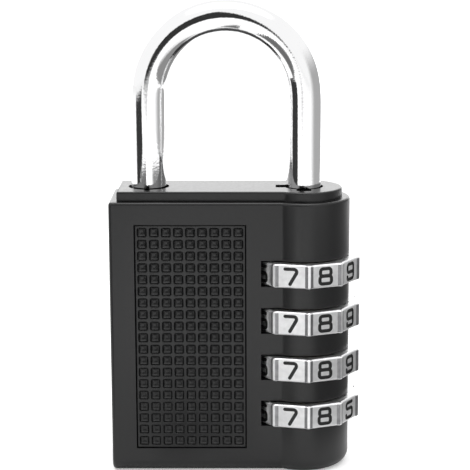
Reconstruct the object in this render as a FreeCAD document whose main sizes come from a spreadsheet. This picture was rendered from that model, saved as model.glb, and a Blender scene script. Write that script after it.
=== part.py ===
import FreeCAD, Part
import math
import os

import Sketcher

# Combination padlock with four numbered dials: a die-cast case, a bent steel shackle
# and a stack of code sleeves round the shackle's long leg.
# Frame: millimetres, X across the case, Y from front to back, Z up, origin at the middle of the case's foot.

doc = FreeCAD.newDocument("Padlock")

# The driving dimensions, in millimetres and degrees. Each becomes a named cell of the sheet Sizes.
SIZES = {
    "case_width": 44.2,  # flat left side to the round of the column
    "case_depth": 15.0,  # thickness of the flat slab
    "column_bulge": 1.1,  # round column proud of each face of the slab
    "top_wall": 6.06,  # solid metal over the long bore, up to the shoulder
    "plateau_rise": 1.75,  # step above the shoulder
    "plateau_inset": 1.45,  # width of the ledge round the step
    "plateau_round": 0.35,  # edge of the step
    "shoulder_round": 0.5,  # edge of the shoulder
    "side_round": 0.6,  # corners of the flat left side
    "foot_round": 2.4,  # lower edge of the front, back and column
    "grid_pitch": 2.2,  # from pit to pit
    "grid_side_margin": 4.93,  # left side to the pits
    "grid_foot_margin": 4.95,  # foot to the pits
    "grid_slot_margin": 3.0,  # pits to the dial slots, at least
    "grid_top_margin": 4.4,  # pits to the shoulder, at least
    "pit_rib": 0.44,  # rib between two pits
    "pit_taper": 0.2,  # lean of the pit walls
    "pit_wall_depth": 0.42,  # depth of the steep walls
    "pit_floor_dip": 0.3,  # extra depth at the middle of a floor
    "panel_margin": 0.35,  # plain strip round the pits
    "panel_depth": 0.2,  # the sunk panel below the face
    "rod_diameter": 6.5,  # shackle steel
    "toe_inset": 7.0,  # left side to the axis of the short leg
    "arch_rise": 17.1,  # top of the case to the centre of the bend
    "toe_engagement": 5.2,  # short leg inside the case
    "toe_floor_gap": 0.8,  # short leg to the floor of its socket
    "toe_play": 0.5,  # round the short leg
    "rod_end_round": 0.8,  # rounded ends of the rod
    "toe_notch_width": 0.8,  # slit at the front of the socket
    "toe_notch_reach": 0.8,  # how far the slit goes past the socket
    "heel_play": 0.4,  # round the long leg in the top wall
    "keyway_side_play": 0.45,  # on each side of a tooth in its slot in the top wall
    "keyway_tip_play": 0.25,  # over the tip of a tooth in that slot
    "stack_bore_radius": 6.15,  # long bore that holds the sleeves
    "dial_height": 4.4,  # thickness of a dial
    "dial_pitch": 8.85,  # from dial to dial
    "dial_base": 9.22,  # foot to the underside of the lowest dial
    "dial_radius": 10.7,  # over the ribs
    "rib_height": 0.68,  # ribs above the number fields
    "dial_fields": 10,  # numbers on a dial
    "rib_top_width": 0.48,  # crest of a rib
    "rib_foot_width": 1.5,  # rib where it leaves the fields
    "dial_chamfer": 0.25,  # edges of a dial
    "dial_phase": 5.1,  # turn of the first rib from the front, degrees
    "slot_play": 0.25,  # above and below a dial in its slot
    "slot_end_play": 0.15,  # over the ribs of a dial in its slot
    "sleeve_play": 0.1,  # round a code sleeve
    "sleeve_wall": 0.95,  # wall of a sleeve
    "sleeve_rise": 0.07,  # end of a sleeve above the underside of its dial
    "stack_play": 0.05,  # between stacked pieces
    "gate_ring_base": 2.3,  # underside of the gate ring above the sleeve's end
    "gate_ring_height": 2.0,  # thickness of the gate ring
    "gate_ring_play": 0.15,  # round the long leg in the gate ring
    "gate_play": 0.2,  # on each side of a tooth in its gate
    "key_reach": 0.75,  # key on the outside of a sleeve
    "key_width": 1.5,  # width of the key
    "key_base": 0.3,  # underside of the key above the sleeve's end
    "key_height": 2.0,  # length of the key
    "key_clearance": 0.1,  # play round the key in its notches
    "tooth_tip_play": 0.2,  # tip of a tooth to the inside of its sleeve
    "tooth_width": 1.8,  # width of a tooth
    "tooth_height": 1.6,  # length of a tooth
    "tooth_gap": 0.2,  # tooth below the gate ring, shackle down
    "plug_step": 0.85,  # plug wider than the long bore
    "plug_thickness": 1.5,  # plug that closes that bore
    "plug_chamfer": 0.3,  # lower edge of the plug
    "plug_recess": 0.3,  # plug above the foot
    "press_play": 0.02,  # play round the plug
    "leg_end_gap": 0.3,  # long leg above the plug
    "clip_thickness": 0.6,  # retaining clip
    "clip_play": 0.5,  # round the clip in the sleeves
    "clip_groove_depth": 0.6,  # groove in the leg
    "clip_mouth": 4.2,  # opening of the clip
    "clip_height": 0.3,  # clip above the leg's end
    "washer_thickness": 0.4,  # washers above and below the sleeves
    "washer_play": 0.2,  # round the long leg in the washers
    "shackle_bore_play": 0.15,  # round the spring in the long leg
    "shackle_bore_depth": 8.4,  # depth of its bore
    "shackle_spring_radius": 1.2,  # middle of the wire, shackle spring
    "shackle_spring_wire": 0.4,  # wire of the shackle spring
    "shackle_spring_turns": 7,
    "clutch_spring_play": 0.5,  # round the clutch spring in the long bore
    "clutch_spring_wire": 0.7,  # wire of the clutch spring
    "clutch_spring_turns": 4,
    "spring_play": 0.03,  # at the ends of a spring
    "detent_depth": 1.3,  # recess left of a dial slot for its spring
    "detent_width": 7.8,  # length of that recess
    "detent_strip": 0.25,  # thickness of a detent spring
    "detent_side_gap": 0.4,  # detent spring inside the edges of its dial
    "detent_gap": 0.08,  # spring clear of the dial and the recess
}

# Sizes and places that follow from them, each from those above it, in the sheet Fits.
DIALS = 4
FITS = {
    "left_side": "-Sizes.case_width / 2",
    "column_radius": "Sizes.case_depth / 2 + Sizes.column_bulge",
    "column_x": "Sizes.case_width / 2 - column_radius",
    "toe_x": "left_side + Sizes.toe_inset",
    "shackle_span": "column_x - toe_x",
    "rod_radius": "Sizes.rod_diameter / 2",
    "dial_flat": "Sizes.dial_radius - Sizes.rib_height",
    "half_field": "180deg / Sizes.dial_fields",
    "field_at_rib": "(dial_flat - Sizes.rib_foot_width / 2 * sin(half_field)) / cos(half_field)",
    "slot_radius": "Sizes.dial_radius + Sizes.slot_end_play",
    "slot_height": "Sizes.dial_height + 2 * Sizes.slot_play",
    "slot_top": "Sizes.dial_base + Sizes.dial_height + Sizes.slot_play",
    "sleeve_radius": "Sizes.stack_bore_radius - Sizes.sleeve_play",
    "sleeve_bore_radius": "sleeve_radius - Sizes.sleeve_wall",
    "mid_wall_radius": "(sleeve_radius + sleeve_bore_radius) / 2",
    "sleeve_base": "Sizes.dial_base + Sizes.sleeve_rise",
    "washer_base": "sleeve_base - Sizes.stack_play - Sizes.washer_thickness",
    "sleeves_top": f"sleeve_base + {DIALS} * Sizes.dial_pitch",
    "stack_top": "sleeves_top + Sizes.washer_thickness + Sizes.stack_play",
    "shoulder_height": "stack_top + Sizes.top_wall",
    "case_top": "shoulder_height + Sizes.plateau_rise",
    "arch_height": "case_top + Sizes.arch_rise",
    "toe_end": "case_top - Sizes.toe_engagement",
    "toe_bore_radius": "rod_radius + Sizes.toe_play",
    "toe_bore_depth": "Sizes.toe_engagement + Sizes.toe_floor_gap",
    "heel_bore_radius": "rod_radius + Sizes.heel_play",
    "heel_bore_depth": "case_top - stack_top",
    "key_radius": "sleeve_radius + Sizes.key_reach",
    "key_notch_radius": "key_radius + Sizes.key_clearance",
    "half_key_notch": "Sizes.key_width / 2 + Sizes.key_clearance",
    "tooth_reach": "sleeve_bore_radius - Sizes.tooth_tip_play",
    "keyway_reach": "tooth_reach + Sizes.keyway_tip_play",
    "half_keyway": "Sizes.tooth_width / 2 + Sizes.keyway_side_play",
    "half_gate": "Sizes.tooth_width / 2 + Sizes.gate_play",
    "gate_ring_radius": "rod_radius + Sizes.gate_ring_play",
    "gate_ring_top": "Sizes.gate_ring_base + Sizes.gate_ring_height",
    "plug_radius": "Sizes.stack_bore_radius + Sizes.plug_step",
    "plug_top": "Sizes.plug_recess + Sizes.plug_thickness",
    "leg_end": "plug_top + Sizes.leg_end_gap",
    "clip_base": "leg_end + Sizes.clip_height",
    "clip_radius": "sleeve_bore_radius - Sizes.clip_play",
    "clip_groove_radius": "rod_radius - Sizes.clip_groove_depth",
    "washer_bore_radius": "rod_radius + Sizes.washer_play",
    "spring_base": "plug_top + Sizes.spring_play",
    "clutch_spring_reach": "Sizes.stack_bore_radius - Sizes.clutch_spring_play",
    "clutch_spring_radius": "clutch_spring_reach - Sizes.clutch_spring_wire / 2",
    "clutch_spring_length": "washer_base - plug_top - 2 * Sizes.spring_play",
    "shackle_spring_reach": "Sizes.shackle_spring_radius + Sizes.shackle_spring_wire / 2",
    "shackle_bore_radius": "shackle_spring_reach + Sizes.shackle_bore_play",
    "shackle_spring_length": "Sizes.leg_end_gap + Sizes.shackle_bore_depth - 2 * Sizes.spring_play",
    "detent_y": "-dial_flat * sin(Sizes.dial_phase * 1deg)",
    "detent_seat": "column_x - slot_radius - Sizes.detent_depth + Sizes.detent_gap",
    "detent_crest": "column_x - dial_flat - Sizes.detent_gap - Sizes.detent_strip",
    "detent_rise": "detent_crest - detent_seat",
    "half_detent": "Sizes.detent_width / 2 - Sizes.detent_gap - 2 * Sizes.detent_strip",
    "bow_radius": "(half_detent * half_detent + detent_rise * detent_rise) / (2 * detent_rise)",
    "bow_centre": "detent_crest - bow_radius",
    "detent_height": "Sizes.dial_height - 2 * Sizes.detent_side_gap",
    "grid_left": "left_side + Sizes.grid_side_margin",
    "slot_end": "column_x - sqrt(slot_radius * slot_radius - Sizes.case_depth * Sizes.case_depth / 4)",
    "grid_columns": "floor((slot_end - Sizes.grid_slot_margin - grid_left) / Sizes.grid_pitch)",
    "grid_reach_up": "shoulder_height - Sizes.grid_top_margin - Sizes.grid_foot_margin",
    "grid_rows": "floor(grid_reach_up / Sizes.grid_pitch)",
}

# How far a cutting shape starts outside the metal.
CUT_MARGIN = 1


def fill_sheet(title, cells):
    """A sheet of named cells: the name in column A, its number or formula in column B."""
    sheet = doc.addObject("Spreadsheet::Sheet", title)
    for line, (name, content) in enumerate(cells.items(), start=1):
        sheet.set(f"A{line}", name)
        sheet.set(f"B{line}", f"={content}" if isinstance(content, str) else str(content))
        sheet.setAlias(f"B{line}", name)
    doc.recompute()
    return sheet


sheet = fill_sheet("Sizes", SIZES)
fill_sheet("Fits", FITS)


def value(formula):
    """The value of a formula over the cells."""
    result = sheet.evalExpression(formula)
    return float(getattr(result, "Value", result))


def bind(obj, **formulas):
    """Tie properties of an object to formulas over the cells."""
    for path, formula in formulas.items():
        obj.setExpression(path.replace("__", "."), formula)
    return obj


def place(obj, along_x="0", along_y="0", along_z="0"):
    """Tie the place of an object to formulas over the cells."""
    return bind(obj, Placement__Base__x=along_x, Placement__Base__y=along_y, Placement__Base__z=along_z)


def new_body(label):
    body = doc.addObject("PartDesign::Body", label)
    body.Label = label
    return body


def sketch_on(body, name, plane="XY_Plane", offset="0"):
    """A sketch on one of the body's own planes, moved along its normal."""
    sketch = body.newObject("Sketcher::SketchObject", name)
    support = next(f for f in body.Origin.OriginFeatures if f.Role == plane)
    sketch.AttachmentSupport = [(support, "")]
    sketch.MapMode = "FlatFace"
    return bind(sketch, AttachmentOffset__Base__z=offset)


def pin_point(sketch, index, end, across, up):
    """Hold a point of a sketch at two formulas from the sketch's origin."""
    for kind, formula in (("DistanceX", across), ("DistanceY", up)):
        held = sketch.addConstraint(Sketcher.Constraint(kind, -1, 1, index, end, value(formula)))
        sketch.setExpression(f"Constraints[{held}]", formula)


def draw_circle(sketch, radius, across="0", up="0"):
    centre = FreeCAD.Vector(value(across), value(up), 0)
    index = sketch.addGeometry(Part.Circle(centre, FreeCAD.Vector(0, 0, 1), value(radius)))
    pin_point(sketch, index, 3, across, up)
    held = sketch.addConstraint(Sketcher.Constraint("Radius", index, value(radius)))
    sketch.setExpression(f"Constraints[{held}]", radius)


def draw_outline(sketch, points):
    """A closed outline of straight lines through points that are given as pairs of formulas."""
    spots = [FreeCAD.Vector(value(across), value(up), 0) for across, up in points]
    lines = [sketch.addGeometry(Part.LineSegment(*pair)) for pair in zip(spots, spots[1:] + spots[:1])]
    for before, after in zip(lines, lines[1:] + lines[:1]):
        sketch.addConstraint(Sketcher.Constraint("Coincident", before, 2, after, 1))
    for index, (across, up) in zip(lines, points):
        pin_point(sketch, index, 1, across, up)


def draw_box(sketch, left, right, low, high):
    draw_outline(sketch, [(left, low), (right, low), (right, high), (left, high)])


def pad(body, name, sketch, length):
    made = body.newObject("PartDesign::Pad", name)
    made.Profile = sketch
    return bind(made, Length=length)


def pocket(body, name, sketch, depth):
    made = body.newObject("PartDesign::Pocket", name)
    made.Profile = sketch
    return bind(made, Length=depth)


def edges_where(feature, test):
    """Names of the edges of a feature whose bounding box and own geometry pass a test."""
    return [f"Edge{n}" for n, edge in enumerate(feature.Shape.Edges, start=1) if test(edge, edge.BoundBox)]


def round_edges(body, name, base, test, radius, kind="Fillet"):
    doc.recompute()
    made = body.newObject(f"PartDesign::{kind}", name)
    made.Base = (base, edges_where(base, test))
    return bind(made, **{"Radius" if kind == "Fillet" else "Size": radius})


def near(a, b):
    return abs(a - b) < 1e-4


def draw_case_outline(sketch, inset):
    """The slab's three straight sides and the round of the column, drawn in by an inset."""
    left = f"Fits.left_side + {inset}"
    half = f"Sizes.case_depth / 2 - {inset}"
    radius = f"Fits.column_radius - {inset}"
    column, reach = value("Fits.column_x"), value(radius)
    low = math.asin(value(half) / reach)
    crease = column - reach * math.cos(low)
    front_left = FreeCAD.Vector(value(left), -value(half), 0)
    back_left = FreeCAD.Vector(value(left), value(half), 0)
    front_crease = FreeCAD.Vector(crease, -value(half), 0)
    back_crease = FreeCAD.Vector(crease, value(half), 0)
    circle = Part.Circle(FreeCAD.Vector(column, 0, 0), FreeCAD.Vector(0, 0, 1), reach)
    front = sketch.addGeometry(Part.LineSegment(front_left, front_crease))
    arc = sketch.addGeometry(Part.ArcOfCircle(circle, low - math.pi, math.pi - low))
    back = sketch.addGeometry(Part.LineSegment(back_crease, back_left))
    end = sketch.addGeometry(Part.LineSegment(back_left, front_left))
    for before, before_end, after, after_end in (
        (front, 2, arc, 1), (arc, 2, back, 1), (back, 2, end, 1), (end, 2, front, 1),
    ):
        sketch.addConstraint(Sketcher.Constraint("Coincident", before, before_end, after, after_end))
    sketch.addConstraint(Sketcher.Constraint("Horizontal", front))
    sketch.addConstraint(Sketcher.Constraint("Horizontal", back))
    pin_point(sketch, arc, 3, "Fits.column_x", "0")
    held = sketch.addConstraint(Sketcher.Constraint("Radius", arc, reach))
    sketch.setExpression(f"Constraints[{held}]", radius)
    pin_point(sketch, front, 1, left, f"-({half})")
    pin_point(sketch, end, 1, left, half)


def make_case_block():
    """The die casting without its grid: outline, step, rounded edges, dial slots and bores."""
    body = new_body("case_block")
    outline = sketch_on(body, "case_outline")
    draw_case_outline(outline, "0")
    block = pad(body, "block", outline, "Fits.shoulder_height")

    def foot_edge(edge, box):
        return near(box.ZMax, 0) and (box.YMin > 0 or box.YMax < 0 or box.XMax > value("Fits.column_x"))

    rounded = round_edges(body, "foot_edge", block, foot_edge, "Sizes.foot_round")

    def side_edge(edge, box):
        return near(box.XMax, value("Fits.left_side")) and box.ZMin < value("Fits.shoulder_height / 2")

    rounded = round_edges(body, "side_corners", rounded, side_edge, "Sizes.side_round")

    def shoulder_edge(edge, box):
        return near(box.ZMin, value("Fits.shoulder_height"))

    rounded = round_edges(body, "shoulder_edge", rounded, shoulder_edge, "Sizes.shoulder_round")
    step = sketch_on(body, "plateau_outline", offset="Fits.shoulder_height")
    draw_case_outline(step, "Sizes.plateau_inset")
    plateau = pad(body, "plateau", step, "Sizes.plateau_rise")

    def plateau_edge(edge, box):
        return near(box.ZMin, value("Fits.case_top"))

    rounded = round_edges(body, "plateau_edge", plateau, plateau_edge, "Sizes.plateau_round")
    doc.recompute()

    slot = sketch_on(body, "slot_outline", offset="Fits.slot_top")
    draw_circle(slot, "Fits.slot_radius", "Fits.column_x")
    slot_cut = pocket(body, "dial_slot", slot, "Fits.slot_height")
    recess = sketch_on(body, "recess_outline", offset="Fits.slot_top")
    draw_box(recess,
             "Fits.column_x - Fits.slot_radius - Sizes.detent_depth", "Fits.column_x - Fits.dial_flat / 2",
             "Fits.detent_y - Sizes.detent_width / 2", "Fits.detent_y + Sizes.detent_width / 2")
    recess_cut = pocket(body, "detent_recess", recess, "Fits.slot_height")
    doc.recompute()
    slots = body.newObject("PartDesign::LinearPattern", "four_slots")
    slots.Originals = [slot_cut, recess_cut]
    upright = next(f for f in body.Origin.OriginFeatures if f.Role == "Z_Axis")
    slots.Direction = (upright, [""])
    slots.Occurrences = DIALS
    bind(slots, Length=f"{DIALS - 1} * Sizes.dial_pitch")
    body.Tip = slots

    bore = sketch_on(body, "stack_bore_outline", offset="Fits.stack_top")
    draw_circle(bore, "Sizes.stack_bore_radius", "Fits.column_x")
    pocket(body, "stack_bore", bore, "Fits.stack_top")
    key = sketch_on(body, "key_groove_outline", offset="Fits.stack_top")
    draw_box(key, "Fits.column_x - Fits.key_notch_radius", "Fits.column_x",
             "-Fits.half_key_notch", "Fits.half_key_notch")
    pocket(body, "key_groove", key, "Fits.stack_top")
    seat = sketch_on(body, "plug_seat_outline", offset="Fits.plug_top")
    draw_circle(seat, "Fits.plug_radius + Sizes.press_play", "Fits.column_x")
    pocket(body, "plug_seat", seat, "Fits.plug_top")

    heel = sketch_on(body, "heel_bore_outline", offset="Fits.case_top")
    draw_circle(heel, "Fits.heel_bore_radius", "Fits.column_x")
    pocket(body, "heel_bore", heel, f"Fits.heel_bore_depth + {CUT_MARGIN}")
    left_way = sketch_on(body, "left_keyway_outline", offset="Fits.case_top")
    draw_box(left_way, "Fits.column_x - Fits.keyway_reach", "Fits.column_x",
             "-Fits.half_keyway", "Fits.half_keyway")
    pocket(body, "left_keyway", left_way, f"Fits.heel_bore_depth + {CUT_MARGIN}")
    front_way = sketch_on(body, "front_keyway_outline", offset="Fits.case_top")
    draw_box(front_way, "Fits.column_x - Fits.half_keyway", "Fits.column_x + Fits.half_keyway",
             "-Fits.keyway_reach", "0")
    pocket(body, "front_keyway", front_way, f"Fits.heel_bore_depth + {CUT_MARGIN}")

    toe = sketch_on(body, "toe_bore_outline", offset="Fits.case_top")
    draw_circle(toe, "Fits.toe_bore_radius", "Fits.toe_x")
    pocket(body, "toe_bore", toe, "Fits.toe_bore_depth")
    notch = sketch_on(body, "toe_notch_outline", offset="Fits.case_top")
    draw_box(notch, "Fits.toe_x - Sizes.toe_notch_width / 2", "Fits.toe_x + Sizes.toe_notch_width / 2",
             "-Fits.toe_bore_radius - Sizes.toe_notch_reach", "0")
    pocket(body, "toe_notch", notch, "Fits.toe_bore_depth")
    doc.recompute()
    return body


def pit_shape(across, up, depth_sign):
    """One pit of the grid: four steep walls and a floor that dips to its middle, cut in from one face."""
    face_y = depth_sign * value("Sizes.case_depth / 2 - Sizes.panel_depth")
    floor_y = face_y - depth_sign * value("Sizes.pit_wall_depth")
    dip_y = floor_y - depth_sign * value("Sizes.pit_floor_dip")
    corners = []
    half_mouth = value("(Sizes.grid_pitch - Sizes.pit_rib) / 2")
    for half, depth in ((half_mouth, face_y), (half_mouth - value("Sizes.pit_taper"), floor_y)):
        corners.append([
            FreeCAD.Vector(across + x * half, depth, up + z * half)
            for x, z in ((-1, -1), (1, -1), (1, 1), (-1, 1))
        ])
    mouth, floor = corners
    dip = FreeCAD.Vector(across, dip_y, up)
    faces = [Part.Face(Part.makePolygon(mouth + mouth[:1]))]
    for n in range(4):
        after = (n + 1) % 4
        faces.append(Part.Face(Part.makePolygon([mouth[n], mouth[after], floor[after], floor[n], mouth[n]])))
        faces.append(Part.Face(Part.makePolygon([floor[n], floor[after], dip, floor[n]])))
    solid = Part.Solid(Part.Shell(faces))
    if solid.Volume < 0:
        solid.reverse()
    return solid


def make_grid_cutter():
    """The sunk panel and its rows of pits, on the front and on the back."""
    pitch = value("Sizes.grid_pitch")
    columns, rows = int(value("Fits.grid_columns")), int(value("Fits.grid_rows"))
    left, foot = value("Fits.grid_left"), value("Sizes.grid_foot_margin")
    margin, depth = value("Sizes.panel_margin"), value("Sizes.panel_depth")
    face_y = value("Sizes.case_depth / 2")
    solids = []
    for side in (-1, 1):
        low = face_y - depth if side > 0 else -face_y - CUT_MARGIN
        corner = FreeCAD.Vector(left - margin, low, foot - margin)
        width, height = columns * pitch + 2 * margin, rows * pitch + 2 * margin
        solids.append(Part.makeBox(width, depth + CUT_MARGIN, height, corner))
        for column in range(columns):
            for row in range(rows):
                solids.append(pit_shape(left + (column + 0.5) * pitch, foot + (row + 0.5) * pitch, side))
    cutter = doc.addObject("Part::Feature", "grid_cutter")
    cutter.Shape = Part.makeCompound(solids)
    return cutter


def make_case():
    block = make_case_block()
    cutter = make_grid_cutter()
    case = doc.addObject("Part::Cut", "case")
    case.Base = block
    case.Tool = cutter
    case.Label = "case"
    return case


def make_bottom_plug():
    """Turned disc pressed into the foot of the column, which closes the long bore."""
    body = new_body("bottom_plug")
    disc = sketch_on(body, "plug_disc")
    draw_circle(disc, "Fits.plug_radius")
    rim = pad(body, "disc", disc, "Sizes.plug_thickness")
    doc.recompute()
    round_edges(body, "plug_rim", rim, lambda edge, box: near(box.ZMax, 0), "Sizes.plug_chamfer", "Chamfer")
    return place(body, "Fits.column_x", "0", "Sizes.plug_recess")


def dial_base(number):
    """Height of the underside of a dial. The dials are numbered from the top."""
    return f"Sizes.dial_base + {DIALS - number} * Sizes.dial_pitch"


def sleeve_base(number):
    """Height of the underside of the code sleeve of a dial."""
    return f"Fits.sleeve_base + {DIALS - number} * Sizes.dial_pitch"


def make_shackle():
    """One round bar bent to a bow, with four teeth on its long leg, a clip groove and a spring bore."""
    body = new_body("shackle")
    path = sketch_on(body, "bend_line", "XZ_Plane")
    toe_x, heel_x, arch = value("Fits.toe_x"), value("Fits.column_x"), value("Fits.arch_height")
    toe_end = FreeCAD.Vector(toe_x, value("Fits.toe_end"), 0)
    toe_top = FreeCAD.Vector(toe_x, arch, 0)
    heel_top = FreeCAD.Vector(heel_x, arch, 0)
    heel_end = FreeCAD.Vector(heel_x, value("Fits.leg_end"), 0)
    middle = (toe_top + heel_top) / 2
    bow_circle = Part.Circle(middle, FreeCAD.Vector(0, 0, 1), value("Fits.shackle_span / 2"))
    toe = path.addGeometry(Part.LineSegment(toe_end, toe_top))
    bow = path.addGeometry(Part.ArcOfCircle(bow_circle, 0, math.pi))
    heel = path.addGeometry(Part.LineSegment(heel_top, heel_end))
    path.addConstraint(Sketcher.Constraint("Coincident", toe, 2, bow, 2))
    path.addConstraint(Sketcher.Constraint("Coincident", bow, 1, heel, 1))
    path.addConstraint(Sketcher.Constraint("Vertical", toe))
    path.addConstraint(Sketcher.Constraint("Vertical", heel))
    pin_point(path, toe, 1, "Fits.toe_x", "Fits.toe_end")
    path.addConstraint(Sketcher.Constraint("Horizontal", bow, 1, bow, 3))
    path.addConstraint(Sketcher.Constraint("Horizontal", bow, 2, bow, 3))
    held = path.addConstraint(Sketcher.Constraint("DistanceY", -1, 1, bow, 3, arch))
    path.setExpression(f"Constraints[{held}]", "Fits.arch_height")
    pin_point(path, heel, 2, "Fits.column_x", "Fits.leg_end")
    section = sketch_on(body, "bar_section", offset="Fits.toe_end")
    draw_circle(section, "Fits.rod_radius", "Fits.toe_x")
    doc.recompute()
    bar = body.newObject("PartDesign::AdditivePipe", "bent_bar")
    bar.Profile = section
    bar.Spine = (path, [f"Edge{n}" for n in (1, 2, 3)])
    doc.recompute()

    def leg_end(edge, box):
        return near(box.ZMax, box.ZMin) and box.ZMax < value("Fits.shoulder_height")

    round_edges(body, "bar_ends", bar, leg_end, "Sizes.rod_end_round")
    for number in range(1, DIALS + 1):
        top = f"{sleeve_base(number)} + Sizes.gate_ring_base - Sizes.tooth_gap"
        tooth = sketch_on(body, f"tooth_outline_{number}", offset=f"{top} - Sizes.tooth_height")
        draw_box(tooth, "Fits.column_x - Fits.tooth_reach", "Fits.column_x",
                 "-Sizes.tooth_width / 2", "Sizes.tooth_width / 2")
        pad(body, f"tooth_{number}", tooth, "Sizes.tooth_height")
    groove_top = "Fits.clip_base + Sizes.clip_thickness + Sizes.stack_play"
    groove = sketch_on(body, "clip_groove_outline", offset=groove_top)
    draw_circle(groove, "Sizes.rod_diameter", "Fits.column_x")
    draw_circle(groove, "Fits.clip_groove_radius", "Fits.column_x")
    pocket(body, "clip_groove", groove, "Sizes.clip_thickness + 2 * Sizes.stack_play")
    bore = sketch_on(body, "spring_bore_outline", offset="Fits.leg_end + Sizes.shackle_bore_depth")
    draw_circle(bore, "Fits.shackle_bore_radius", "Fits.column_x")
    pocket(body, "spring_bore", bore, f"Sizes.shackle_bore_depth + {CUT_MARGIN}")
    return body


def make_retaining_clip():
    """Flat spring-steel clip that snaps into the groove of the heel leg and stops it in the case."""
    body = new_body("retaining_clip")
    outline = sketch_on(body, "clip_outline")
    draw_circle(outline, "Fits.clip_radius")
    draw_circle(outline, "Fits.clip_groove_radius + Sizes.stack_play")
    pad(body, "clip_ring", outline, "Sizes.clip_thickness")
    mouth = sketch_on(body, "mouth_outline", offset="Sizes.clip_thickness")
    draw_box(mouth, "0", f"Fits.clip_radius + {CUT_MARGIN}", "-Sizes.clip_mouth / 2", "Sizes.clip_mouth / 2")
    pocket(body, "clip_mouth_cut", mouth, "Sizes.clip_thickness")
    return place(body, "Fits.column_x", "0", "Fits.clip_base")


def make_washer(label, base):
    """Thin steel ring between the sleeves and what they push against."""
    body = new_body(label)
    ring = sketch_on(body, f"{label}_outline")
    draw_circle(ring, "Fits.sleeve_radius")
    draw_circle(ring, "Fits.washer_bore_radius")
    pad(body, f"{label}_ring", ring, "Sizes.washer_thickness")
    return place(body, "Fits.column_x", "0", base)


def make_spring(label, radius, wire, turns, height):
    """Round-wire compression spring that stands on the bottom plug."""
    helix = doc.addObject("Part::Helix", f"{label}_line")
    helix.SegmentLength = 1
    bind(helix, Radius=radius, Height=f"{height} - {wire}", Pitch=f"({height} - {wire}) / {turns}")
    wire_end = doc.addObject("Part::Circle", f"{label}_wire")
    bind(wire_end, Radius=f"{wire} / 2")
    place(wire_end, radius)
    upright = FreeCAD.Rotation(FreeCAD.Vector(1, 0, 0), 90)
    wire_end.Placement = FreeCAD.Placement(wire_end.Placement.Base, upright)
    spring = doc.addObject("Part::Sweep", label)
    spring.Sections = [wire_end]
    spring.Spine = (helix, [])
    spring.Solid = True
    spring.Frenet = True
    spring.Label = label
    return place(spring, "Fits.column_x", "0", f"Fits.spring_base + {wire} / 2")


def make_dial(number):
    """Die-cast dial: ten flat number fields between raised ribs, and ten key notches round its bore."""
    body = new_body(f"dial_{number}")
    blank = sketch_on(body, f"dial_blank_{number}")
    fields = int(value("Sizes.dial_fields"))
    turn = 360 / fields
    points = []
    for field in range(fields):
        rib = f"(Sizes.dial_phase + {field * turn}) * 1deg"
        for across, out in (
            ("-Sizes.rib_foot_width / 2", "Fits.field_at_rib"),
            ("-Sizes.rib_top_width / 2", "Sizes.dial_radius"),
            ("Sizes.rib_top_width / 2", "Sizes.dial_radius"),
            ("Sizes.rib_foot_width / 2", "Fits.field_at_rib"),
        ):
            along_x = f"{across} * cos({rib}) + {out} * sin({rib})"
            along_y = f"{across} * sin({rib}) - {out} * cos({rib})"
            points.append((along_x, along_y))
    draw_outline(blank, points)
    solid = pad(body, f"dial_body_{number}", blank, "Sizes.dial_height")
    doc.recompute()
    round_edges(body, f"dial_edges_{number}", solid,
                lambda edge, box: near(box.ZMin, box.ZMax), "Sizes.dial_chamfer", "Chamfer")
    bore = sketch_on(body, f"dial_bore_outline_{number}", offset="Sizes.dial_height")
    draw_circle(bore, "Sizes.stack_bore_radius")
    pocket(body, f"dial_bore_{number}", bore, "Sizes.dial_height")
    notch = sketch_on(body, f"key_notch_outline_{number}", offset="Sizes.dial_height")
    draw_box(notch, "-Fits.key_notch_radius", "0", "-Fits.half_key_notch", "Fits.half_key_notch")
    cut = pocket(body, f"key_notch_{number}", notch, "Sizes.dial_height")
    doc.recompute()
    notches = body.newObject("PartDesign::PolarPattern", f"key_notches_{number}")
    notches.Originals = [cut]
    notches.Axis = (next(f for f in body.Origin.OriginFeatures if f.Role == "Z_Axis"), [""])
    notches.Angle = 360
    notches.Occurrences = fields
    body.Tip = notches
    return place(body, "Fits.column_x", "0", dial_base(number))


def make_code_sleeve(number):
    """Tube that turns with its dial: a gate ring inside that only lets its tooth through at one number."""
    body = new_body(f"code_sleeve_{number}")
    tube = sketch_on(body, f"sleeve_outline_{number}")
    draw_circle(tube, "Fits.sleeve_radius")
    draw_circle(tube, "Fits.sleeve_bore_radius")
    pad(body, f"sleeve_tube_{number}", tube, "Sizes.dial_pitch - Sizes.stack_play")
    ring = sketch_on(body, f"gate_ring_outline_{number}", offset="Sizes.gate_ring_base")
    draw_circle(ring, "Fits.mid_wall_radius")
    draw_circle(ring, "Fits.gate_ring_radius")
    pad(body, f"gate_ring_{number}", ring, "Sizes.gate_ring_height")
    gate = sketch_on(body, f"gate_outline_{number}", offset="Fits.gate_ring_top")
    draw_box(gate, "-Fits.sleeve_bore_radius", "0", "-Fits.half_gate", "Fits.half_gate")
    pocket(body, f"gate_{number}", gate, "Sizes.gate_ring_height")
    key = sketch_on(body, f"key_outline_{number}", offset="Sizes.key_base")
    draw_box(key, "-Fits.key_radius", "-Fits.mid_wall_radius",
             "-Sizes.key_width / 2", "Sizes.key_width / 2")
    pad(body, f"key_{number}", key, "Sizes.key_height")
    return place(body, "Fits.column_x", "0", sleeve_base(number))


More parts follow.
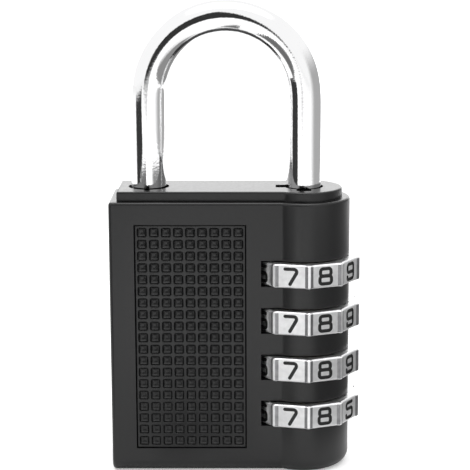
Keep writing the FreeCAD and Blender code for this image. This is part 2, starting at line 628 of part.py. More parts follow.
def make_detent_spring(number):
    """Bowed strip of spring steel that clicks into the number fields from the back of the dial slot."""
    body = new_body(f"detent_spring_{number}")
    bow = sketch_on(body, f"bow_outline_{number}")
    draw_circle(bow, "Fits.bow_radius", "Fits.bow_centre", "Fits.detent_y")
    draw_circle(bow, "Fits.bow_radius + Sizes.detent_strip", "Fits.bow_centre", "Fits.detent_y")
    pad(body, f"bow_{number}", bow, "Fits.detent_height")
    rest = sketch_on(body, f"bow_rest_{number}", offset="Fits.detent_height")
    draw_box(rest, "Fits.detent_seat - 4 * Fits.bow_radius", "Fits.detent_seat",
             "Fits.detent_y - 2 * Fits.bow_radius", "Fits.detent_y + 2 * Fits.bow_radius")
    pocket(body, f"bow_ends_{number}", rest, "Fits.detent_height")
    base = f"{dial_base(number)} + Sizes.detent_side_gap"
    return place(body, "0", "0", base)


def make_parts():
    """Every separate piece of the lock, in the order of assembly."""
    parts = [make_case()]
    parts += [make_dial(number) for number in range(1, DIALS + 1)]
    parts += [make_detent_spring(number) for number in range(1, DIALS + 1)]
    parts.append(make_washer("top_washer", "Fits.sleeves_top"))
    parts += [make_code_sleeve(number) for number in range(1, DIALS + 1)]
    parts.append(make_washer("stack_washer", "Fits.washer_base"))
    parts.append(make_shackle())
    parts.append(make_retaining_clip())
    parts.append(make_spring(
        "clutch_spring", "Fits.clutch_spring_radius", "Sizes.clutch_spring_wire",
        "Sizes.clutch_spring_turns", "Fits.clutch_spring_length"))
    parts.append(make_spring(
        "shackle_spring", "Sizes.shackle_spring_radius", "Sizes.shackle_spring_wire",
        "Sizes.shackle_spring_turns", "Fits.shackle_spring_length"))
    parts.append(make_bottom_plug())
    return parts


def write_parts(parts):
    """Stop on any object that failed, then write each piece to a file named after it."""
    doc.recompute()
    for obj in doc.Objects:
        if "Invalid" in obj.State or "Error" in obj.State:
            raise RuntimeError(f"{obj.Name} failed: {obj.getStatusString()}")
    for part in parts:
        if part.Shape.isNull() or not part.Shape.isValid():
            raise RuntimeError(f"{part.Label} has no valid shape")
    os.makedirs("parts", exist_ok=True)
    for part in parts:
        part.Shape.exportStep(f"parts/{part.Label}.step")
        print(f"{part.Label}: {len(part.Shape.Solids)} solid, {part.Shape.Volume:.1f} mm3")


write_parts(make_parts())
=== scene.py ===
import math

import bmesh
import bpy
from mathutils import Matrix, Vector


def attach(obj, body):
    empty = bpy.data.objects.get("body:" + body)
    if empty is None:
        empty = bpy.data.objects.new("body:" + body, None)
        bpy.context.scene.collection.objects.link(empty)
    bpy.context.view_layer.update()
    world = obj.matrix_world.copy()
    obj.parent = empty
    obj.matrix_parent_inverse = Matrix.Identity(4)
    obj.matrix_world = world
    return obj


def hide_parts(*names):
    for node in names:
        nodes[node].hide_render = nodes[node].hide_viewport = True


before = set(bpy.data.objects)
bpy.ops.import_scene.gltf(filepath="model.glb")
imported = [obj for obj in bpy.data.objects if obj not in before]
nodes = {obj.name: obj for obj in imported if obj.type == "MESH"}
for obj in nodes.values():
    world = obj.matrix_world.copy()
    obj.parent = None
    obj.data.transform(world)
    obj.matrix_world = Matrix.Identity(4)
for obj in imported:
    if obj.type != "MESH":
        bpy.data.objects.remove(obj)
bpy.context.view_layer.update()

# The camera stands in front of the lock, a little above it and square to its face,
# with a long lens. Its small shift puts the lock where the photograph has it.
camera_data = bpy.data.cameras.new("camera")
camera_data.sensor_width = 36
camera_data.lens = 134.5
camera_data.shift_x = -0.0705
camera = bpy.data.objects.new("camera", camera_data)
bpy.context.scene.collection.objects.link(camera)
camera.location = (0.00696, -0.3200, 0.11086)
camera.rotation_euler = (math.radians(78.145), 0, 0)
bpy.context.scene.camera = camera
bpy.context.scene.view_settings.view_transform = "Standard"


# The studio is a white table in a white tent, with one soft lamp overhead. Dark and bright cards
# and papers round the lock give its metal and paint their bands. None of it belongs to the lock.
def new_material(name):
    """An empty node material, its node tree and its output."""
    material = bpy.data.materials.new(name)
    material.use_nodes = True
    material.node_tree.nodes.clear()
    output = material.node_tree.nodes.new("ShaderNodeOutputMaterial")
    return material, material.node_tree, output


def new_piece(name, shape, *materials):
    """A mesh object at the origin, made from a bmesh, which is then freed."""
    mesh = bpy.data.meshes.new(name)
    shape.to_mesh(mesh)
    shape.free()
    piece = bpy.data.objects.new(name, mesh)
    bpy.context.scene.collection.objects.link(piece)
    for material in materials:
        mesh.materials.append(material)
    return piece


world = bpy.data.worlds.new("white_tent")
bpy.context.scene.world = world
world.use_nodes = True
tent = world.node_tree.nodes["Background"]
tent.inputs["Color"].default_value = (1, 1, 1, 1)
tent.inputs["Strength"].default_value = 1.0

table_material, table_tree, table_output = new_material("white_table")
table_paper = table_tree.nodes.new("ShaderNodeBsdfDiffuse")
table_paper.inputs["Color"].default_value = (0.92, 0.92, 0.92, 1)
table_glow = table_tree.nodes.new("ShaderNodeEmission")
table_rays = table_tree.nodes.new("ShaderNodeLightPath")
table_sees = table_tree.nodes.new("ShaderNodeMath")
table_sees.operation = "MULTIPLY"
table_sees.inputs[1].default_value = 0.30
table_sum = table_tree.nodes.new("ShaderNodeAddShader")
table_tree.links.new(table_rays.outputs["Is Camera Ray"], table_sees.inputs[0])
table_tree.links.new(table_sees.outputs[0], table_glow.inputs["Strength"])
table_tree.links.new(table_paper.outputs[0], table_sum.inputs[0])
table_tree.links.new(table_glow.outputs[0], table_sum.inputs[1])
table_tree.links.new(table_sum.outputs[0], table_output.inputs["Surface"])
table_shape = bmesh.new()
bmesh.ops.create_grid(table_shape, x_segments=1, y_segments=1, size=4)
table = new_piece("table", table_shape, table_material)


def add_lamp(name, place, aim, width, depth, watts):
    """A soft rectangular lamp at a place, turned towards a point."""
    lamp_data = bpy.data.lights.new(name, "AREA")
    lamp_data.shape = "RECTANGLE"
    lamp_data.size = width
    lamp_data.size_y = depth
    lamp_data.energy = watts
    lamp = bpy.data.objects.new(name, lamp_data)
    bpy.context.scene.collection.objects.link(lamp)
    lamp.location = place
    lamp.rotation_euler = (Vector(aim) - Vector(place)).to_track_quat("-Z", "Y").to_euler()
    lamp.visible_glossy = False


add_lamp("overhead_softbox", (0, -0.1, 0.9), (0, 0, 0.04), 1.0, 0.8, 4)


def add_card(name, foot_line, head_line, tone, side_fade, end_fade):
    """A card between two lines, seen only in shiny surfaces; its tone fades to white at its edges."""
    material, tree, output = new_material(name)
    spot = tree.nodes.new("ShaderNodeUVMap")
    spot.uv_map = "card"
    part = tree.nodes.new("ShaderNodeSeparateXYZ")
    cover = tree.nodes.new("ShaderNodeMath")
    cover.operation = "MULTIPLY"
    tree.links.new(spot.outputs[0], part.inputs[0])
    for direction, fade in enumerate((side_fade, end_fade)):
        edge_distance = tree.nodes.new("ShaderNodeMath")
        edge_distance.operation = "PINGPONG"
        edge_distance.inputs[1].default_value = 0.5
        edge = tree.nodes.new("ShaderNodeMapRange")
        edge.interpolation_type = "SMOOTHSTEP"
        edge.inputs["From Max"].default_value = fade
        tree.links.new(part.outputs[direction], edge_distance.inputs[0])
        tree.links.new(edge_distance.outputs[0], edge.inputs["Value"])
        tree.links.new(edge.outputs["Result"], cover.inputs[direction])
    shade = tree.nodes.new("ShaderNodeMath")
    shade.operation = "MULTIPLY_ADD"
    shade.inputs[1].default_value, shade.inputs[2].default_value = tone - 1, 1
    glow = tree.nodes.new("ShaderNodeEmission")
    tree.links.new(cover.outputs[0], shade.inputs[0])
    tree.links.new(shade.outputs[0], glow.inputs["Strength"])
    tree.links.new(glow.outputs[0], output.inputs["Surface"])
    shape = bmesh.new()
    spots = shape.loops.layers.uv.new("card")
    foot = [shape.verts.new(corner) for corner in foot_line]
    head = [shape.verts.new(corner) for corner in head_line]
    steps = len(foot) - 1
    for step in range(steps):
        face = shape.faces.new((foot[step], foot[step + 1], head[step + 1], head[step]))
        for loop, place in zip(face.loops, ((step, 0), (step + 1, 0), (step + 1, 1), (step, 1))):
            loop[spots].uv = (place[0] / steps, place[1])
    card = new_piece(name, shape, material)
    card.visible_camera = False
    card.visible_diffuse = False
    card.visible_shadow = False


COLUMN_X = 0.0135
PAPER_HEIGHT = 0.0005


def add_paper(name, first_turn, last_turn, near, far, tone, side_fade):
    """A paper on the table round the foot of the column, between two turns from the front."""
    turns = [math.radians(first_turn + (last_turn - first_turn) * step / 8) for step in range(9)]
    lines = [[(COLUMN_X + reach * math.sin(turn), -reach * math.cos(turn), PAPER_HEIGHT) for turn in turns]
             for reach in (near, far)]
    add_card(name, *lines, tone, side_fade, 0.1)


add_card("left_card", [(-0.15, -0.022, -0.015), (-0.15, -0.225, -0.015)],
         [(-0.25, -0.032, 0.060), (-0.25, -0.290, 0.060)], 0.04, 0.09, 0.25)
add_card("camera_card",
         [(-0.32, -0.50, 0.04), (-0.22, -0.45, 0.01), (-0.05, -0.40, 0.00),
          (0.01, -0.44, 0.02), (0.06, -0.50, 0.07)],
         [(-0.34, -0.50, 0.14), (-0.23, -0.50, 0.30), (-0.05, -0.50, 0.42),
          (0.02, -0.50, 0.30), (0.08, -0.50, 0.12)],
         0.035, 0.15, 0.12)
add_card("right_card", [(0.25, -0.22, -0.10), (0.25, 0.45, -0.10)], [(0.25, -0.22, 0.20), (0.25, 0.45, 0.20)],
         0.42, 0.25, 0.35)
add_card("back_card", [(0.22, 0.35, -0.05), (-0.60, 0.35, -0.05)], [(0.22, 0.35, 0.45), (-0.60, 0.35, 0.45)],
         2.5, 0.05, 0.1)
add_paper("left_paper", -16, -58, 0.02, 0.25, 0.16, 0.2)
add_paper("right_paper", 15, 150, 0.02, 0.22, 0.28, 0.09)
add_card("front_paper", [(-0.031, -0.010, 0.0008), (-0.014, -0.010, 0.0008)],
         [(-0.063, -0.380, 0.0008), (-0.024, -0.380, 0.0008)], 2.3, 0.15, 0.4)
add_card("overhead_card", [(-0.30, -0.35, 0.55), (0.35, -0.35, 0.55)],
         [(-0.30, 0.12, 0.55), (0.35, 0.12, 0.55)], 4.0, 0.4, 0.4)


# Every finish has a fine grain: the paint's orange peel, the plating's polish marks or the
# brass's turning marks. One node group makes it, and each material gives it its own values.
grain = bpy.data.node_groups.new("surface_grain", "ShaderNodeTree")
for socket_name, kind, low in (
    ("Scale", "NodeSocketFloat", 400.0), ("Stretch", "NodeSocketVector", (1, 1, 1)),
    ("Dark", "NodeSocketColor", (0, 0, 0, 1)), ("Light", "NodeSocketColor", (1, 1, 1, 1)),
    ("Smooth", "NodeSocketFloat", 0.2), ("Rough", "NodeSocketFloat", 0.4),
    ("Relief", "NodeSocketFloat", 0.00001), ("Patches", "NodeSocketFloat", 90.0),
):
    grain.interface.new_socket(socket_name, in_out="INPUT", socket_type=kind).default_value = low
grain.interface.new_socket("Color", in_out="OUTPUT", socket_type="NodeSocketColor")
grain.interface.new_socket("Roughness", in_out="OUTPUT", socket_type="NodeSocketFloat")
grain.interface.new_socket("Normal", in_out="OUTPUT", socket_type="NodeSocketVector")
grain_in = grain.nodes.new("NodeGroupInput")
grain_out = grain.nodes.new("NodeGroupOutput")
grain_place = grain.nodes.new("ShaderNodeTexCoord")
grain_map = grain.nodes.new("ShaderNodeMapping")
fine_noise = grain.nodes.new("ShaderNodeTexNoise")
fine_noise.inputs["Detail"].default_value = 3
broad_noise = grain.nodes.new("ShaderNodeTexNoise")
broad_noise.inputs["Detail"].default_value = 2
grain_mix = grain.nodes.new("ShaderNodeMix")
grain_mix.data_type = "RGBA"
grain_rough = grain.nodes.new("ShaderNodeMapRange")
grain_bump = grain.nodes.new("ShaderNodeBump")
grain_bump.inputs["Strength"].default_value = 1.0
grain.links.new(grain_place.outputs["Object"], grain_map.inputs["Vector"])
grain.links.new(grain_in.outputs["Stretch"], grain_map.inputs["Scale"])
grain.links.new(grain_map.outputs["Vector"], fine_noise.inputs["Vector"])
grain.links.new(grain_in.outputs["Scale"], fine_noise.inputs["Scale"])
grain.links.new(grain_map.outputs["Vector"], broad_noise.inputs["Vector"])
grain.links.new(grain_in.outputs["Patches"], broad_noise.inputs["Scale"])
grain.links.new(broad_noise.outputs["Fac"], grain_mix.inputs["Factor"])
grain.links.new(grain_in.outputs["Dark"], grain_mix.inputs["A"])
grain.links.new(grain_in.outputs["Light"], grain_mix.inputs["B"])
grain.links.new(grain_mix.outputs["Result"], grain_out.inputs["Color"])
grain.links.new(fine_noise.outputs["Fac"], grain_rough.inputs["Value"])
grain.links.new(grain_in.outputs["Smooth"], grain_rough.inputs["To Min"])
grain.links.new(grain_in.outputs["Rough"], grain_rough.inputs["To Max"])
grain.links.new(grain_rough.outputs["Result"], grain_out.inputs["Roughness"])
grain.links.new(fine_noise.outputs["Fac"], grain_bump.inputs["Height"])
grain.links.new(grain_in.outputs["Relief"], grain_bump.inputs["Distance"])
grain.links.new(grain_bump.outputs["Normal"], grain_out.inputs["Normal"])


def grained_material(name, dark, light, smooth, rough, relief, scale,
                     patches=90.0, stretch=(1, 1, 1), metallic=1.0):
    """A Principled finish whose colour, roughness and relief come from the grain group."""
    material, tree, output = new_material(name)
    group = tree.nodes.new("ShaderNodeGroup")
    group.node_tree = grain
    values = {"Scale": scale, "Stretch": stretch, "Dark": (*dark, 1), "Light": (*light, 1),
              "Smooth": smooth, "Rough": rough, "Relief": relief, "Patches": patches}
    for socket_name, value in values.items():
        group.inputs[socket_name].default_value = value
    shader = tree.nodes.new("ShaderNodeBsdfPrincipled")
    shader.inputs["Metallic"].default_value = metallic
    tree.links.new(group.outputs["Color"], shader.inputs["Base Color"])
    tree.links.new(group.outputs["Roughness"], shader.inputs["Roughness"])
    tree.links.new(group.outputs["Normal"], shader.inputs["Normal"])
    tree.links.new(shader.outputs[0], output.inputs["Surface"])
    return material


# The case is one zinc die casting in satin black paint, with a grid of small pits in a sunk
# panel on both faces. The pits get their rounded mouths here, in the CAD panels' own places.
case_paint = grained_material(
    "case_paint", (0.003, 0.003, 0.0033), (0.005, 0.005, 0.0054), 0.26, 0.36, 0.0000035, 1600,
    metallic=0.0)
MM = 0.001
PANEL_Y = 7.3 * MM
PANEL_MARGIN = 0.35 * MM
SKIN = 0.005 * MM
PITCH = 2.2 * MM
PIT_WIDTH = 1.76 * MM
PIT_CORNER = 0.34 * MM
PIT_TAPER = 0.22 * MM
PIT_DEPTH = 0.50 * MM
PIT_DISH = ((0.80, 0.11), (0.55, 0.19), (0.28, 0.24))
LINE_WIDTH = 0.20 * MM
LINE_DEPTH = 0.30 * MM
MOUTH_FILLET = 0.07 * MM


def merged_copy(node_name):
    """A bmesh of a CAD node with its loose triangles joined and its flat faces whole again."""
    shape = bmesh.new()
    shape.from_mesh(nodes[node_name].data)
    bmesh.ops.remove_doubles(shape, verts=shape.verts, dist=0.0005 * MM)
    bmesh.ops.dissolve_limit(shape, angle_limit=math.radians(0.7), verts=shape.verts, edges=shape.edges)
    return shape


def smooth_by_angle(piece, degrees):
    """Smooth shading, but sharp where two faces meet at more than an angle."""
    for face in piece.data.polygons:
        face.use_smooth = True
    piece.data.set_sharp_from_angle(angle=math.radians(degrees))


def panel_faces(shape, side):
    """The flat floor of the sunk panel on the front (-1) or back (1), without the pits."""
    return [face for face in shape.faces
            if all(abs(side * vert.co.y - PANEL_Y) < SKIN for vert in face.verts)]


def middle_face(shape):
    """The face of a flat cell that lies over its middle."""
    return min(shape.faces, key=lambda face: face.calc_center_median().length)


def pit_cell():
    """One square of the grid, lying flat, with its pit sunk below it."""
    shape = bmesh.new()
    bmesh.ops.create_grid(shape, x_segments=1, y_segments=1, size=PITCH / 2)
    bmesh.ops.inset_individual(
        shape, faces=[middle_face(shape)], thickness=(PITCH - PIT_WIDTH) / 2, use_even_offset=True)
    bmesh.ops.bevel(shape, geom=list(middle_face(shape).verts), affect="VERTICES", offset=PIT_CORNER,
                    offset_type="OFFSET", segments=3, profile=0.5, material=-1)
    inner = middle_face(shape)
    mouth = list(inner.edges)
    bmesh.ops.inset_individual(shape, faces=[inner], thickness=PIT_TAPER * 0.5, depth=-PIT_DEPTH * 0.8)
    bmesh.ops.inset_individual(shape, faces=[inner], thickness=PIT_TAPER * 0.5, depth=-PIT_DEPTH * 0.2)
    width = 1
    for share, dip in PIT_DISH:
        bmesh.ops.inset_individual(shape, faces=[inner], thickness=0.01 * MM)
        bmesh.ops.scale(shape, vec=(share / width, share / width, 1), verts=inner.verts)
        width = share
        for vert in inner.verts:
            vert.co.z = -PIT_DEPTH - dip * MM
    bmesh.ops.bevel(
        shape, geom=mouth, affect="EDGES", offset=MOUTH_FILLET, segments=2, profile=0.5, material=-1)
    return shape


def pit_grid():
    """A mesh of the whole grid of cells, lying flat round its own middle."""
    shape = pit_cell()
    cell = shape.verts[:] + shape.edges[:] + shape.faces[:]
    for column in range(COLUMNS):
        for row in range(ROWS):
            copy = bmesh.ops.duplicate(shape, geom=cell)["geom"]
            corners = [part for part in copy if isinstance(part, bmesh.types.BMVert)]
            step = ((column - (COLUMNS - 1) / 2) * PITCH, (row - (ROWS - 1) / 2) * PITCH, 0)
            bmesh.ops.translate(shape, vec=step, verts=corners)
    bmesh.ops.delete(shape, geom=cell[:], context="VERTS")
    bmesh.ops.remove_doubles(shape, verts=shape.verts, dist=0.002 * MM)
    mesh = bpy.data.meshes.new("pit_grid")
    shape.to_mesh(mesh)
    shape.free()
    return mesh


case_shape = merged_copy("case")
floor_spots = [vert.co for face in panel_faces(case_shape, -1) for vert in face.verts]
panel_left, panel_right = min(spot.x for spot in floor_spots), max(spot.x for spot in floor_spots)
panel_foot, panel_top = min(spot.z for spot in floor_spots), max(spot.z for spot in floor_spots)
COLUMNS = round((panel_right - panel_left - 2 * PANEL_MARGIN) / PITCH)
ROWS = round((panel_top - panel_foot - 2 * PANEL_MARGIN) / PITCH)
panel_x, panel_z = (panel_left + panel_right) / 2, (panel_foot + panel_top) / 2
grid_mesh = pit_grid()
for side in (-1, 1):
    sunk = [
        face for face in case_shape.faces
        if all(panel_left - SKIN < vert.co.x < panel_right + SKIN
               and panel_foot - SKIN < vert.co.z < panel_top + SKIN
               and PANEL_Y - 1.0 * MM < side * vert.co.y < PANEL_Y + SKIN for vert in face.verts)
    ]
    bmesh.ops.delete(case_shape, geom=sunk, context="FACES")
    ring = [edge for edge in case_shape.edges if edge.is_boundary]
    for inward, depth in ((LINE_WIDTH / 2, LINE_DEPTH), (LINE_WIDTH / 2, 0)):
        made = bmesh.ops.extrude_edge_only(case_shape, edges=ring)["geom"]
        ring = [part for part in made if isinstance(part, bmesh.types.BMEdge) and part.is_boundary]
        for vert in {vert for edge in ring for vert in edge.verts}:
            vert.co.x -= (vert.co.x - panel_x) * 2 * inward / (panel_right - panel_left)
            vert.co.z -= (vert.co.z - panel_z) * 2 * inward / (panel_top - panel_foot)
            vert.co.y = side * (PANEL_Y - depth)
    facing = Matrix.Rotation(math.radians(0 if side < 0 else 180), 4, "Z")
    upright = Matrix.Rotation(math.radians(90), 4, "X")
    stand = Matrix.Translation((panel_x, side * PANEL_Y, panel_z)) @ facing @ upright
    grid_mesh.transform(stand)
    case_shape.from_mesh(grid_mesh)
    grid_mesh.transform(stand.inverted())
    ring = [edge for edge in case_shape.edges if edge.is_boundary]
    bmesh.ops.triangle_fill(case_shape, use_beauty=True, edges=ring)
bmesh.ops.recalc_face_normals(case_shape, faces=case_shape.faces)
case_shell = new_piece("case_shell", case_shape, case_paint)
smooth_by_angle(case_shell, 30)
flat_faces = case_shell.modifiers.new("flat_faces", "WEIGHTED_NORMAL")
flat_faces.keep_sharp = True
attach(case_shell, "case")
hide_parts("case")
nodes["bottom_plug"].data.materials.clear()
nodes["bottom_plug"].data.materials.append(case_paint)


# The shackle is a bent steel bar, hardened, polished and bright chrome plated. Its long leg
# goes down through the dials and carries four teeth; the short leg only enters its socket.
shackle_chrome = grained_material(
    "shackle_chrome", (0.92, 0.92, 0.925), (0.96, 0.96, 0.965), 0.03, 0.09, 0.000008, 2600)
BAR_SIDES = 72
BOW_STEPS = 96
BEND_EASING = 0.45
END_ROUND = 0.8 * MM
GROOVE_DEPTH = 0.6 * MM
GROOVE_HEIGHT = 0.7 * MM
CLIP_HEIGHT = 0.25 * MM
BORE_RADIUS = 1.55 * MM
BORE_DEPTH = 8.4 * MM
TOOTH_REACH = 4.9 * MM
TOOTH_WIDTH = 1.8 * MM


def corners_of(node_name):
    """Lowest and highest corner of a node's mesh."""
    spots = [vert.co for vert in nodes[node_name].data.vertices]
    return (Vector([min(spot[axis] for spot in spots) for axis in range(3)]),
            Vector([max(spot[axis] for spot in spots) for axis in range(3)]))


def sweep(shape, sides, places):
    """A tube of rings with so many sides through a row of places; gives its first and last loop of edges."""
    corners = bmesh.ops.create_circle(
        shape, cap_ends=False, segments=sides, radius=1, matrix=places[0])["verts"]
    first = loop = list(dict.fromkeys(edge for vert in corners for edge in vert.link_edges))
    for before, after in zip(places, places[1:]):
        made = bmesh.ops.extrude_edge_only(shape, edges=loop)["geom"]
        corners = [part for part in made if isinstance(part, bmesh.types.BMVert)]
        bmesh.ops.transform(shape, matrix=after @ before.inverted(), verts=corners)
        loop = [part for part in made if isinstance(part, bmesh.types.BMEdge) and part.is_boundary]
    return first, loop


def bar_place(spot, turn, radius):
    """Where a ring of the bar lies: its middle in the XZ plane, how far the bar has turned, its radius."""
    lean = Matrix.Rotation(-turn, 4, "Y")
    return Matrix.Translation(spot) @ lean @ Matrix.Diagonal((radius, radius, radius, 1))


low, high = corners_of("shackle")
bar_radius = (high.y - low.y) / 2
toe_x, heel_x = low.x + bar_radius, high.x - bar_radius
heel_end = low.z
toe_end = min(vert.co.z for vert in nodes["shackle"].data.vertices if vert.co.x < toe_x + bar_radius)
rounding = [math.radians(step * 18) for step in range(6)]
heel_rings = [(BORE_DEPTH, BORE_RADIUS), (0, BORE_RADIUS)]
heel_rings += [(END_ROUND * (1 - math.cos(turn)) * 0.3, bar_radius - END_ROUND * (1 - math.sin(turn)))
               for turn in rounding]
heel_rings += [(CLIP_HEIGHT, bar_radius), (CLIP_HEIGHT, bar_radius - GROOVE_DEPTH),
               (CLIP_HEIGHT + GROOVE_HEIGHT, bar_radius - GROOVE_DEPTH),
               (CLIP_HEIGHT + GROOVE_HEIGHT, bar_radius)]
places = [bar_place((heel_x, 0, heel_end + height), 0, radius) for height, radius in heel_rings]
bow, spot, turn = [], Vector(), 0.0
piece = (math.pi + BEND_EASING) / BOW_STEPS / 8
for step in range(BOW_STEPS * 8 + 1):
    if step % 8 == 0:
        bow.append((spot.copy(), turn))
    from_end = min(step + 0.5, BOW_STEPS * 8 - step - 0.5)
    tightness = min(1, from_end * piece / BEND_EASING)
    halfway = turn + tightness * piece / 2
    spot += piece * Vector((-math.sin(halfway), 0, math.cos(halfway)))
    turn += tightness * piece
bow_scale = (toe_x - heel_x) / bow[-1][0].x
bow_foot = Vector((heel_x, 0, high.z - bar_radius - bow_scale * max(spot.z for spot, turn in bow)))
places += [bar_place(bow_foot + bow_scale * spot, turn, bar_radius) for spot, turn in bow]
places += [bar_place((toe_x, 0, toe_end + END_ROUND * (1 - math.sin(turn))), math.pi,
                     bar_radius - END_ROUND * (1 - math.cos(turn))) for turn in rounding]
shackle_shape = bmesh.new()
for end_loop in sweep(shackle_shape, BAR_SIDES, places):
    bmesh.ops.edgeloop_fill(shackle_shape, edges=end_loop)
tooth_heights = sorted({
    round(vert.co.z / MM, 2) for vert in nodes["shackle"].data.vertices
    if abs(heel_x - TOOTH_REACH - vert.co.x) < 0.01 * MM and vert.co.z < toe_end})
for foot, top in zip(tooth_heights[::2], tooth_heights[1::2]):
    tooth = bmesh.ops.create_cube(shackle_shape, size=1)["verts"]
    size = (TOOTH_REACH - bar_radius / 2, TOOTH_WIDTH, (top - foot) * MM)
    middle = (heel_x - (TOOTH_REACH + bar_radius / 2) / 2, 0, (top + foot) / 2 * MM)
    bmesh.ops.scale(shackle_shape, vec=size, verts=tooth)
    bmesh.ops.translate(shackle_shape, vec=middle, verts=tooth)
bmesh.ops.recalc_face_normals(shackle_shape, faces=shackle_shape.faces)
shackle = new_piece("shackle_bar", shackle_shape, shackle_chrome)
smooth_by_angle(shackle, 30)
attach(shackle, "shackle")
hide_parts("shackle")


# The dials are die cast and plated in satin chrome, with engraved numbers filled with black enamel.
# The rib slopes get a much darker chrome colour, which is painted shade. The lowest dial has 5 and 9 swapped.
dial_chrome = grained_material(
    "dial_chrome", (0.72, 0.72, 0.725), (0.99, 0.99, 0.995), 0.32, 0.42, 0.000012, 1500, patches=900.0)
# The darker chrome of the rib slopes is painted shade.
slope_shade_chrome = grained_material(
    "slope_shade_chrome", (0.16, 0.16, 0.165), (0.40, 0.40, 0.41), 0.35, 0.50, 0.000012, 1500, patches=900.0)
enamel = grained_material(
    "number_enamel", (0.006, 0.006, 0.006), (0.010, 0.010, 0.010), 0.35, 0.5, 0.000002, 900, metallic=0.0)
STROKE = 0.64 * MM
ENGRAVED = 0.22 * MM
CORNER = 0.50 * MM
CAP_TURNS = [math.radians(turn) for turn in (22, 45, 67, 85)]
SHARP_TURN = math.radians(25)
SLOPE_TURN = math.radians(24)
HOLLOW_FILLET = 0.35 * MM
EDGE_FILLET = 0.07 * MM
NUMBERS = {
    0: [(True, [(-1.1, -1.4), (1.1, -1.4), (1.1, 1.4), (-1.1, 1.4)])],
    1: [(False, [(-0.6, 0.95), (0.1, 1.4), (0.1, -1.4)])],
    2: [(False, [(-1.05, 1.4), (1.1, 1.4), (1.1, 0.25), (-1.05, -1.4)]),
        (False, [(-1.05, -1.4), (1.15, -1.4)])],
    3: [(False, [(-1.0, 1.4), (1.05, 1.4), (1.05, 0.05), (-0.4, 0.05)]),
        (False, [(0.2, 0.05), (1.15, 0.05), (1.15, -1.4), (-1.1, -1.4)])],
    4: [(False, [(0.3, 1.4), (-1.15, -0.6), (1.15, -0.6)]), (False, [(0.5, 0.3), (0.5, -1.4)])],
    5: [(False, [(1.05, 1.4), (-1.05, 1.4), (-1.05, 0.25), (1.15, 0.25), (1.15, -1.4),
                 (-1.1, -1.4), (-1.1, -0.9)])],
    6: [(True, [(-1.1, -1.4), (1.1, -1.4), (1.1, 0.1), (-1.1, 0.1)]),
        (False, [(-1.1, -0.6), (-1.1, 1.4), (0.9, 1.4)])],
    7: [(False, [(-1.25, 1.4), (1.25, 1.4), (-0.35, -1.4)])],
    8: [(True, [(-1.15, -1.4), (1.15, -1.4), (1.15, 0.03), (-1.15, 0.03)]),
        (True, [(-1.05, 0.07), (1.05, 0.07), (1.05, 1.4), (-1.05, 1.4)])],
    9: [(True, [(-1.1, -0.1), (1.1, -0.1), (1.1, 1.4), (-1.1, 1.4)]),
        (False, [(1.1, 0.6), (1.1, -1.4), (-1.1, -1.4), (-1.1, -0.9)])],
}


def rounded_path(points, closed):
    """A stroke's middle line in metres, its corners rounded."""
    points = [Vector(point) * MM for point in points]
    count = len(points)
    line = []
    for index, point in enumerate(points):
        if not closed and index in (0, count - 1):
            line.append(point)
            continue
        before, after = points[index - 1], points[(index + 1) % count]
        to_before, to_after = (before - point), (after - point)
        bend = math.pi - to_before.angle(to_after)
        reach = min(CORNER * math.tan(bend / 2), to_before.length * 0.45, to_after.length * 0.45)
        inward = (to_before.normalized() + to_after.normalized()).normalized()
        centre = point + inward * reach / math.sin(bend / 2)
        start = point + to_before.normalized() * reach - centre
        spin = bend if to_before.x * to_after.y - to_before.y * to_after.x < 0 else -bend
        for step in range(7):
            line.append(centre + Matrix.Rotation(spin * step / 6, 2) @ start)
    return line


def stroke_place(spot, along, half_width, depth):
    """Where a cross-section of a stroke lies on its field, which takes a ring of four to a rectangle."""
    side = Vector((-along.y, along.x)) * half_width
    return Matrix(((side.x, -side.x, along.x, spot.x), (side.y, -side.y, along.y, spot.y),
                   (depth, depth, 0, 0), (0, 0, 0, 1)))


def add_stroke(shape, points, closed, field, depth):
    """A round-ended groove cutter along a stroke, which reaches from above the field to its depth."""
    line = rounded_path(points, closed)
    half = STROKE / 2
    stations = []
    for index, spot in enumerate(line):
        before = line[index - 1] if closed or index else spot
        after = line[(index + 1) % len(line)] if closed or index < len(line) - 1 else spot
        stations.append((spot, (after - before).normalized(), half))
    if not closed:
        head, tail = [
            [(spot + way * half * math.sin(turn) * along, along, half * math.cos(turn)) for turn in CAP_TURNS]
            for way, (spot, along, _) in ((-1, stations[0]), (1, stations[-1]))]
        stations = head[::-1] + stations + tail
    first, last = sweep(shape, 4, [field @ stroke_place(*station, depth) for station in stations])
    if closed:
        bmesh.ops.bridge_loops(shape, edges=first + last)
    else:
        bmesh.ops.edgeloop_fill(shape, edges=first)
        bmesh.ops.edgeloop_fill(shape, edges=last)


def number_fields(shape, axis):
    """How far the number fields of a dial lie from its axis, and the turn of the one right of its front."""
    fields = [face for face in shape.faces if abs(face.normal.z) < 0.01]
    field = max(fields, key=lambda face: face.calc_area() * (face.normal.x > 0 > face.normal.y))
    turn = math.degrees(math.atan2(field.normal.x, -field.normal.y))
    return (field.calc_center_median() - axis).dot(field.normal), turn % 36


def number_cutter(order, axis, field_radius, eight_turn):
    """Cutters for all ten numbers round a dial, in the order in which they follow each other."""
    shape = bmesh.new()
    upright = Matrix.Rotation(math.radians(90), 4, "X")
    for position, number in enumerate(order):
        turn = Matrix.Rotation(math.radians(eight_turn + 36 * (position - 8)), 4, "Z")
        field = Matrix.Translation(axis) @ turn @ Matrix.Translation((0, -field_radius, 0)) @ upright
        for layer, (closed, points) in enumerate(NUMBERS[number]):
            add_stroke(shape, points, closed, field, ENGRAVED * (1 + 0.05 * layer))
    bmesh.ops.recalc_face_normals(shape, faces=shape.faces)
    return new_piece("number_cutter", shape, enamel)


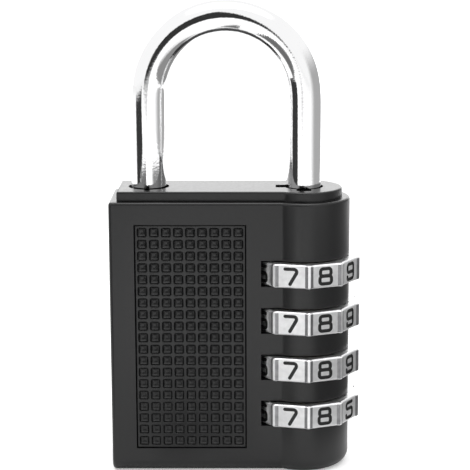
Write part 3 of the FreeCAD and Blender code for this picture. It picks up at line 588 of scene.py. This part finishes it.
def cut_with(piece, cutter):
    """Cut a piece's mesh with another, keep the cutter's material in the cut, and drop the cutter."""
    cut = piece.modifiers.new("cut", "BOOLEAN")
    cut.operation = "DIFFERENCE"
    cut.solver = "EXACT"
    cut.use_self = True
    cut.material_mode = "TRANSFER"
    cut.object = cutter
    view = bpy.context.evaluated_depsgraph_get()
    view.update()
    mesh = bpy.data.meshes.new_from_object(piece.evaluated_get(view))
    piece.modifiers.clear()
    piece.data = mesh
    bpy.data.objects.remove(cutter)


for number in range(1, 5):
    low, high = corners_of(f"dial_{number}")
    axis = (low + high) / 2
    blank = merged_copy(f"dial_{number}")
    bmesh.ops.recalc_face_normals(blank, faces=blank.faces)
    field_radius, eight_turn = number_fields(blank, axis)
    for convex, fillet in ((False, HOLLOW_FILLET), (True, EDGE_FILLET)):
        crisp = [edge for edge in blank.edges if len(edge.link_faces) == 2 and edge.is_convex == convex
                 and edge.calc_face_angle() > SHARP_TURN]
        bmesh.ops.bevel(blank, geom=crisp, affect="EDGES", offset=fillet, offset_type="OFFSET", segments=3,
                        profile=0.5, material=-1, clamp_overlap=True)
    # Faces on the rib slopes take the darker chrome, which paints shade on the slopes.
    for face in blank.faces:
        outward = (face.calc_center_median() - axis) * Vector((1, 1, 0))
        if (outward.length > field_radius and outward.angle(face.normal) > SLOPE_TURN
                and abs(face.normal.z) < 0.42):
            face.material_index = 1
    dial = new_piece(f"number_dial_{number}", blank, dial_chrome, slope_shade_chrome)
    order = [0, 1, 2, 3, 4, 9, 6, 7, 8, 5] if number == 4 else list(range(10))
    cut_with(dial, number_cutter(order, axis, field_radius, eight_turn))
    smooth_by_angle(dial, 9)
    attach(dial, f"dial_{number}")
    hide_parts(f"dial_{number}")


# Inside are four brass code sleeves, two steel washers, and springs and a clip of bright
# drawn spring steel. They only show through the dial slots and when the shackle is up.
sleeve_brass = grained_material(
    "sleeve_brass", (0.22, 0.165, 0.075), (0.34, 0.26, 0.12), 0.32, 0.50, 0.000003, 300, stretch=(1, 1, 8))
spring_steel = grained_material(
    "spring_steel", (0.40, 0.40, 0.41), (0.52, 0.52, 0.53), 0.18, 0.32, 0.000001, 800)
inner_steel = grained_material(
    "inner_steel", (0.42, 0.42, 0.43), (0.50, 0.50, 0.51), 0.30, 0.45, 0.000003, 500)
inner_finish = {
    "code_sleeve": sleeve_brass, "washer": inner_steel, "spring": spring_steel, "clip": spring_steel}
for node_name, node in nodes.items():
    for word, material in inner_finish.items():
        if word in node_name:
            node.data.materials.clear()
            node.data.materials.append(material)
